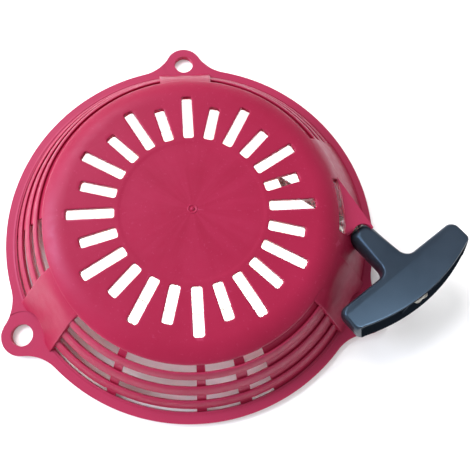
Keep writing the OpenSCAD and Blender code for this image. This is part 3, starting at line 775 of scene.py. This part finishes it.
def build_coil():
    """The wound rope: three layers of two turns, with a gap in the outer turn where the rope leaves.

    The gap meets the rope's run at rest and after whole turns of the reel. At other angles the run
    passes through the outer turn.
    """
    turns = [(0, 1), (0, -1), (1, -1), (1, 1), (2, 1), (2, -1)]
    step = 7.5
    free = math.degrees(math.acos(ROPE_OUT / (ROPE_OUT + 2 * ROPE_R + 0.3)))
    counts = [48] * 5 + [int((360 - free - 2) / step)]
    angle = LEAVE_ANGLE + 1 + step * sum(counts)
    pts = []
    for n, (layer, side) in enumerate(turns):
        came = turns[max(n - 1, 0)]
        for k in range(counts[n]):
            share = smoothstep(k / 7)
            r = ROPE_IN + ROPE_PITCH * (came[0] + (layer - came[0]) * share)
            z = ROPE_Z + ROPE_PITCH / 2 * (came[1] + (side - came[1]) * share)
            pts.append((*polar(r, angle), z))
            angle -= step
    pts.append((*polar(ROPE_OUT, angle), ROPE_Z - ROPE_PITCH / 2))
    return tube("wound_rope", pts, ROPE_R, 12)


def knot_points(scale):
    """Centre line of an overhand knot."""
    out = []
    for k in range(49):
        t = 2 * math.pi * k / 48 * 0.93 + 0.22
        out.append(Vector((math.sin(t) + 2 * math.sin(2 * t), math.cos(t) - 2 * math.cos(2 * t),
                           -math.sin(3 * t) * 1.1)) * scale)
    return out


def build_grip_knot():
    centre = Vector((POCKET_IN + 3.9, 0, -0.4))
    turn = Matrix.Rotation(math.radians(90), 3, "Y")
    ring = [centre + turn @ p for p in knot_points(0.95)]
    straight = [Vector((POCKET_IN - 1.5 + 0.5 * k, 0, 0)) for k in range(6)]
    pieces = [tube("knot", [GRIP_FRAME @ p for p in ring], 1.45, 14),
              tube("end", [GRIP_FRAME @ p for p in straight], ROPE_R - 0.05, 14)]
    return pieces


# ------------------------------------------------------------------ materials
class Shade:
    """A material with a Principled shader, and short ways to add nodes to it."""

    def __init__(self, name, color, roughness, metallic=0.0, **values):
        self.mat = bpy.data.materials.new(name)
        self.mat.use_nodes = True
        self.tree = self.mat.node_tree
        self.bsdf = self.tree.nodes["Principled BSDF"]
        self.bsdf.inputs["Base Color"].default_value = (*color, 1)
        self.bsdf.inputs["Roughness"].default_value = roughness
        self.bsdf.inputs["Metallic"].default_value = metallic
        for key, value in values.items():
            self.bsdf.inputs[key.replace("_", " ")].default_value = value
        self.place = self.node("ShaderNodeTexCoord").outputs["Object"]

    def node(self, kind, **settings):
        made = self.tree.nodes.new(kind)
        for key, value in settings.items():
            setattr(made, key, value)
        return made

    def link(self, a, b):
        self.tree.links.new(a, b)

    def noise(self, scale, detail=3.0, rough=0.5, vector=None):
        n = self.node("ShaderNodeTexNoise")
        n.inputs["Scale"].default_value = scale
        n.inputs["Detail"].default_value = detail
        n.inputs["Roughness"].default_value = rough
        self.link(vector or self.place, n.inputs["Vector"])
        return n.outputs["Fac"]

    def remap(self, value, from_low, from_high, to_low, to_high):
        n = self.node("ShaderNodeMapRange")
        limits = from_low, from_high, to_low, to_high
        for key, v in zip(("From Min", "From Max", "To Min", "To Max"), limits):
            n.inputs[key].default_value = v
        self.link(value, n.inputs["Value"])
        return n.outputs["Result"]

    def math(self, operation, a, b=0.0):
        n = self.node("ShaderNodeMath", operation=operation)
        for socket, v in ((n.inputs[0], a), (n.inputs[1], b)):
            if isinstance(v, (int, float)):
                socket.default_value = v
            else:
                self.link(v, socket)
        return n.outputs[0]

    def mix(self, share, a, b):
        n = self.node("ShaderNodeMix", data_type="RGBA")
        for socket, v in ((n.inputs["Factor"], share), (n.inputs[6], a), (n.inputs[7], b)):
            if isinstance(v, tuple):
                socket.default_value = (*v, 1)
            elif isinstance(v, float):
                socket.default_value = v
            else:
                self.link(v, socket)
        return n.outputs[2]

    def bump(self, height, distance, strength=1.0, before=None):
        n = self.node("ShaderNodeBump")
        n.inputs["Distance"].default_value = distance
        n.inputs["Strength"].default_value = strength
        self.link(height, n.inputs["Height"])
        if before is not None:
            self.link(before, n.inputs["Normal"])
        return n.outputs["Normal"]

    def color(self, socket):
        self.link(socket, self.bsdf.inputs["Base Color"])

    def roughness(self, socket):
        self.link(socket, self.bsdf.inputs["Roughness"])

    def normal(self, socket):
        self.link(socket, self.bsdf.inputs["Normal"])


def housing_material():
    s = Shade("housing_plastic", (0.52, 0.03, 0.09), 0.45, Specular_Tint=(1.0, 0.72, 1.0, 1.0),
              Specular_IOR_Level=0.32)
    red, pale, deep = (0.43, 0.016, 0.062), (0.475, 0.025, 0.082), (0.385, 0.012, 0.05)
    cloud = s.remap(s.noise(38, 4), 0.3, 0.7, 0, 1)
    base = s.mix(cloud, deep, red)
    # flow marks that run out from the gate, on the middle of the face only
    split = s.node("ShaderNodeSeparateXYZ")
    s.link(s.place, split.inputs[0])
    angle = s.math("ARCTAN2", split.outputs["Y"], split.outputs["X"])
    radius = s.math("SQRT", s.math("ADD", s.math("POWER", split.outputs["X"], 2),
                                   s.math("POWER", split.outputs["Y"], 2)))
    join_up = s.node("ShaderNodeCombineXYZ")
    s.link(s.math("SINE", angle), join_up.inputs["X"])
    s.link(s.math("COSINE", angle), join_up.inputs["Y"])
    s.link(s.math("MULTIPLY", radius, 6.0), join_up.inputs["Z"])
    rays = s.remap(s.noise(2.6, 5, 0.62, join_up.outputs[0]), 0.42, 0.62, 0, 1)
    on_face = s.math("MULTIPLY", s.remap(radius, 0.034, 0.026, 0, 0.36),
                     s.remap(split.outputs["Z"], 0.0345, 0.035, 0, 1))
    base = s.mix(s.math("MULTIPLY", rays, on_face), base, pale)
    # edges are a little paler: partly wear from handling, partly a painted highlight along the edges
    wear_and_edge_highlight = s.remap(s.node("ShaderNodeNewGeometry").outputs["Pointiness"], 0.515, 0.57, 0, 0.3)
    speck = s.remap(s.noise(900, 2), 0.66, 0.72, 0, 0.25)
    base = s.mix(wear_and_edge_highlight, base, (0.62, 0.08, 0.18))
    s.color(s.mix(speck, base, (0.56, 0.06, 0.15)))
    s.roughness(s.remap(s.noise(260, 4), 0.3, 0.7, 0.36, 0.48))
    grain = s.bump(s.noise(2600, 2), 0.00004, 0.55)
    s.normal(s.bump(s.noise(70, 3), 0.0003, 0.12, grain))
    return s.mat


def grip_material():
    s = Shade("grip_plastic", (0.03, 0.04, 0.055), 0.34, Specular_Tint=(0.4, 0.67, 1.0, 1.0))
    tone = s.remap(s.noise(60, 4), 0.3, 0.7, 0, 1)
    # painted highlight: edges are paler, partly wear and partly a painted highlight along them
    wear_and_edge_highlight = s.remap(s.node("ShaderNodeNewGeometry").outputs["Pointiness"], 0.52, 0.58, 0, 0.25)
    plastic_with_wear_and_edge_highlight = s.mix(wear_and_edge_highlight, s.mix(tone, (0.009, 0.011, 0.015), (0.016, 0.02, 0.027)), (0.07, 0.09, 0.12))
    inside = 1.0
    # painted shade: the pocket's space in the grip's frame is painted near black and made fully rough,
    # standing in for the shade inside the recess
    for axis, low, high in ((0, POCKET_IN - 0.5, 60), (1, -POCKET_HALF - 0.4, POCKET_HALF + 0.4),
                            (2, -5.7, 5.0)):
        direction = GRIP_FRAME.to_3x3().col[axis]
        dot = s.node("ShaderNodeVectorMath", operation="DOT_PRODUCT")
        s.link(s.place, dot.inputs[0])
        dot.inputs[1].default_value = direction
        place = s.math("SUBTRACT", dot.outputs["Value"], SEAT.dot(direction) * MM)
        for limit, step in ((low, 0.3), (high, -0.3)):
            inside = s.math("MULTIPLY", s.remap(place, limit * MM, (limit + step) * MM, 0, 1), inside)
    # painted shade inside the pocket
    s.color(s.mix(inside, plastic_with_wear_and_edge_highlight, (0.003, 0.003, 0.004)))
    grain = s.remap(s.noise(300, 2), 0.0, 1.0, 0.26, 0.38)
    s.roughness(s.math("MAXIMUM", grain, inside))
    fine = s.bump(s.noise(1800, 1), 0.00002, 0.25)
    s.normal(s.bump(s.noise(45, 2), 0.0004, 0.1, fine))
    return s.mat


def nylon_material():
    s = Shade("reel_nylon", (0.84, 0.82, 0.76), 0.5, Subsurface_Weight=0.15, Subsurface_Scale=0.002)
    tone = s.remap(s.noise(90, 4), 0.35, 0.7, 0, 1)
    s.color(s.mix(tone, (0.86, 0.84, 0.79), (0.77, 0.74, 0.66)))
    s.roughness(s.remap(s.noise(500, 3), 0.3, 0.7, 0.42, 0.6))
    s.normal(s.bump(s.noise(1500, 3), 0.00004, 0.5))
    return s.mat


def dark_plastic_material():
    s = Shade("guide_plastic", (0.02, 0.02, 0.022), 0.5)
    s.color(s.mix(s.remap(s.noise(120, 4), 0.3, 0.7, 0, 1), (0.014, 0.014, 0.016), (0.035, 0.035, 0.038)))
    s.roughness(s.remap(s.noise(400, 3), 0.3, 0.7, 0.42, 0.62))
    s.normal(s.bump(s.noise(1800, 3), 0.00004, 0.5))
    return s.mat


def metal_material(name, light, dark, rough_low, rough_high):
    s = Shade(name, light, 0.35, 1.0)
    s.color(s.mix(s.remap(s.noise(160, 5, 0.6), 0.35, 0.68, 0, 1), dark, light))
    s.roughness(s.remap(s.noise(900, 4), 0.3, 0.7, rough_low, rough_high))
    s.normal(s.bump(s.noise(2400, 2), 0.00002, 0.5))
    return s.mat


def rope_material(name, stretched):
    """Diamond braid of cream yarns with two dark tracers.

    The pulled rope takes its length from where it lies.
    """
    s = Shade(name, (0.8, 0.77, 0.68), 0.85, Sheen_Weight=0.3, Sheen_Roughness=0.5)
    stored = s.node("ShaderNodeAttribute", attribute_name="braid")
    parts = s.node("ShaderNodeSeparateXYZ")
    s.link(stored.outputs["Vector"], parts.inputs[0])
    if stretched:
        dot = s.node("ShaderNodeVectorMath", operation="DOT_PRODUCT")
        s.link(s.place, dot.inputs[0])
        dot.inputs[1].default_value = PULL
        along = dot.outputs["Value"]
    else:
        along = parts.outputs["Z"]
    around = s.math("ARCTAN2", parts.outputs["Y"], parts.outputs["X"])
    twist = s.math("MULTIPLY", along, 2 * math.pi / 0.0042)
    a = s.math("SINE", s.math("ADD", s.math("MULTIPLY", around, 4.0), twist))
    b = s.math("SINE", s.math("SUBTRACT", s.math("MULTIPLY", around, 4.0), twist))
    weave = s.math("MAXIMUM", a, b)
    tracer = s.math("SINE", s.math("ADD", around, s.math("MULTIPLY", twist, 0.25)))
    dark = s.math("MULTIPLY", s.remap(tracer, 0.86, 0.93, 0, 1), s.remap(a, 0.1, 0.4, 0, 1))
    # painted shade: the gaps between the yarns are darkened
    cream = s.mix(s.remap(weave, -0.6, 0.9, 0, 1), (0.36, 0.33, 0.27), (0.84, 0.81, 0.73))
    s.color(s.mix(dark, cream, (0.04, 0.04, 0.045)))
    fuzz = s.bump(s.noise(5000, 3), 0.00008, 0.6)
    s.normal(s.bump(weave, 0.0003, 0.9, fuzz))
    return s.mat


MATERIALS = {
    "housing_plastic": housing_material(),
    "grip_plastic": grip_material(),
    "reel_nylon": nylon_material(),
    "guide_plastic": dark_plastic_material(),
    "plated_steel": metal_material("plated_steel", (0.62, 0.62, 0.6), (0.44, 0.43, 0.4), 0.26, 0.46),
    "insert_brass": metal_material("insert_brass", (0.72, 0.5, 0.2), (0.5, 0.33, 0.12), 0.25, 0.45),
    "spring_steel": metal_material("spring_steel", (0.2, 0.21, 0.25), (0.1, 0.1, 0.12), 0.25, 0.42),
    "rope_fibre": rope_material("rope_fibre", False),
    "rope_pulled": rope_material("rope_pulled", True),
}


def dress(obj, material):
    obj.data.materials.clear()
    obj.data.materials.append(MATERIALS[material])
    return obj


# ------------------------------------------------------------------ the object
housing = join("housing_moulding", [build_shell(), build_plate(), *[build_pad(a) for a in EARS],
                                    build_guide(), *build_inside()])
smooth_by_angle(housing, 32)
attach(dress(housing, "housing_plastic"), "housing")
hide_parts("starter_housing")

grip = build_grip()
grip.name = "pull_grip"
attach(dress(grip, "grip_plastic"), "grip")
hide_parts("grip_body")

rope, rope_start, rope_end = build_rope_run()
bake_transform(dress(rope, "rope_pulled"))
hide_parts("rope_run")

coil = build_coil()
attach(dress(coil, "rope_fibre"), "reel_assembly")
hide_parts("rope_coil")

knot = join("grip_knot", build_grip_knot())
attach(dress(knot, "rope_fibre"), "grip")
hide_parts("rope_grip_end")

for part in frame["record"]["subparts"]:
    node = NODES[part["node"]]
    if not node.hide_render:
        dress(node, part["material_slot"])

# ------------------------------------------------------------------ floor, light and camera
# where the camera stands, and the light that reaches through the slots
EYE = (-0.00311, -0.05994, 0.22237)
floor_mesh = bpy.data.meshes.new("floor")
corners = [(-6, -6, -0.0003), (6, -6, -0.0003), (6, 6, -0.0003), (-6, 6, -0.0003)]
floor_mesh.from_pydata(corners, [], [(0, 1, 2, 3)])
floor = bpy.data.objects.new("floor", floor_mesh)
bpy.context.scene.collection.objects.link(floor)
floor_shade = Shade("floor", (0.93, 0.93, 0.93), 0.6)
floor_mesh.materials.append(floor_shade.mat)


def area_light(name, place, target, size, power, color=(1, 1, 1)):
    data = bpy.data.lights.new(name, "AREA")
    data.shape = "RECTANGLE"
    data.size, data.size_y = size
    data.energy = power
    data.color = color
    obj = bpy.data.objects.new(name, data)
    obj.location = place
    obj.rotation_euler = (Vector(target) - Vector(place)).to_track_quat("-Z", "Y").to_euler()
    bpy.context.scene.collection.objects.link(obj)
    return obj


world = bpy.data.worlds.new("studio")
world.use_nodes = True
sky = world.node_tree
sky.nodes["Background"].inputs["Color"].default_value = (0.97, 0.98, 1.0, 1)
toward = sky.nodes.new("ShaderNodeVectorMath")
toward.operation = "DOT_PRODUCT"
toward.inputs[1].default_value = Vector((-0.6, 0.5, 0.6)).normalized()
sky.links.new(sky.nodes.new("ShaderNodeTexCoord").outputs["Generated"], toward.inputs[0])
fade = sky.nodes.new("ShaderNodeMapRange")
for key, v in (("From Min", -0.6), ("From Max", 0.9), ("To Min", 0.32), ("To Max", 0.56)):
    fade.inputs[key].default_value = v
sky.links.new(toward.outputs["Value"], fade.inputs["Value"])
sky.links.new(fade.outputs["Result"], sky.nodes["Background"].inputs["Strength"])
bpy.context.scene.world = world
area_light("window", (-1.5, 0.3, 1.0), (0, 0, 0.02), (0.6, 1.0), 31, (0.8, 0.86, 1.0))
area_light("ceiling", (-0.9, 1.2, 1.5), (0, 0, 0), (1.0, 1.0), 19, (1.0, 0.97, 0.97))


def light_only(light, name, objs, blocks):
    """Lets a light reach some objects only."""
    chosen = bpy.data.collections.new(name)
    for obj in objs:
        chosen.objects.link(obj)
    light.light_linking.receiver_collection = chosen
    if blocks:
        light.light_linking.blocker_collection = chosen


floor_wash = area_light("floor_wash", (0, 0, 0.9), (0, 0, 0), (4, 4), 24)
light_only(floor_wash, "backdrop", [floor], False)
over_the_grip = area_light("over_the_grip", (0.195, -0.025, 0.82), (0.075, -0.065, 0.03), (0.16, 0.16), 4.4)
light_only(over_the_grip, "pulled", [grip], True)
# stands at the camera and reaches through the face to the floor and the inner parts named below, so
# that the slots read pale
inner = bpy.data.lights.new("behind_the_face", "SPOT")
inner.energy = 3.2
inner.spot_size = math.radians(33)
inner.spot_blend = 0.03
inner.shadow_soft_size = 0.004
inner_light = bpy.data.objects.new("behind_the_face", inner)
inner_light.location = EYE
inner_aim = Vector((0, 0, 0.035)) - inner_light.location
inner_light.rotation_euler = inner_aim.to_track_quat("-Z", "Y").to_euler()
bpy.context.scene.collection.objects.link(inner_light)
light_only(inner_light, "seen_inside",
           [floor, NODES["reel"], NODES["recoil_spring"], NODES["spring_cover"]], True)

camera_data = bpy.data.cameras.new("camera")
camera_data.sensor_width = 36
camera_data.lens = 35.23
camera_data.shift_x, camera_data.shift_y = 0.048, -0.0086
camera_data.clip_start, camera_data.clip_end = 0.01, 50
camera = bpy.data.objects.new("camera", camera_data)
camera.location = EYE
camera.rotation_euler = (math.radians(15.02), math.radians(-2.41), math.radians(-3.59))
bpy.context.scene.collection.objects.link(camera)
bpy.context.scene.camera = camera
bpy.context.scene.view_settings.view_transform = "Standard"
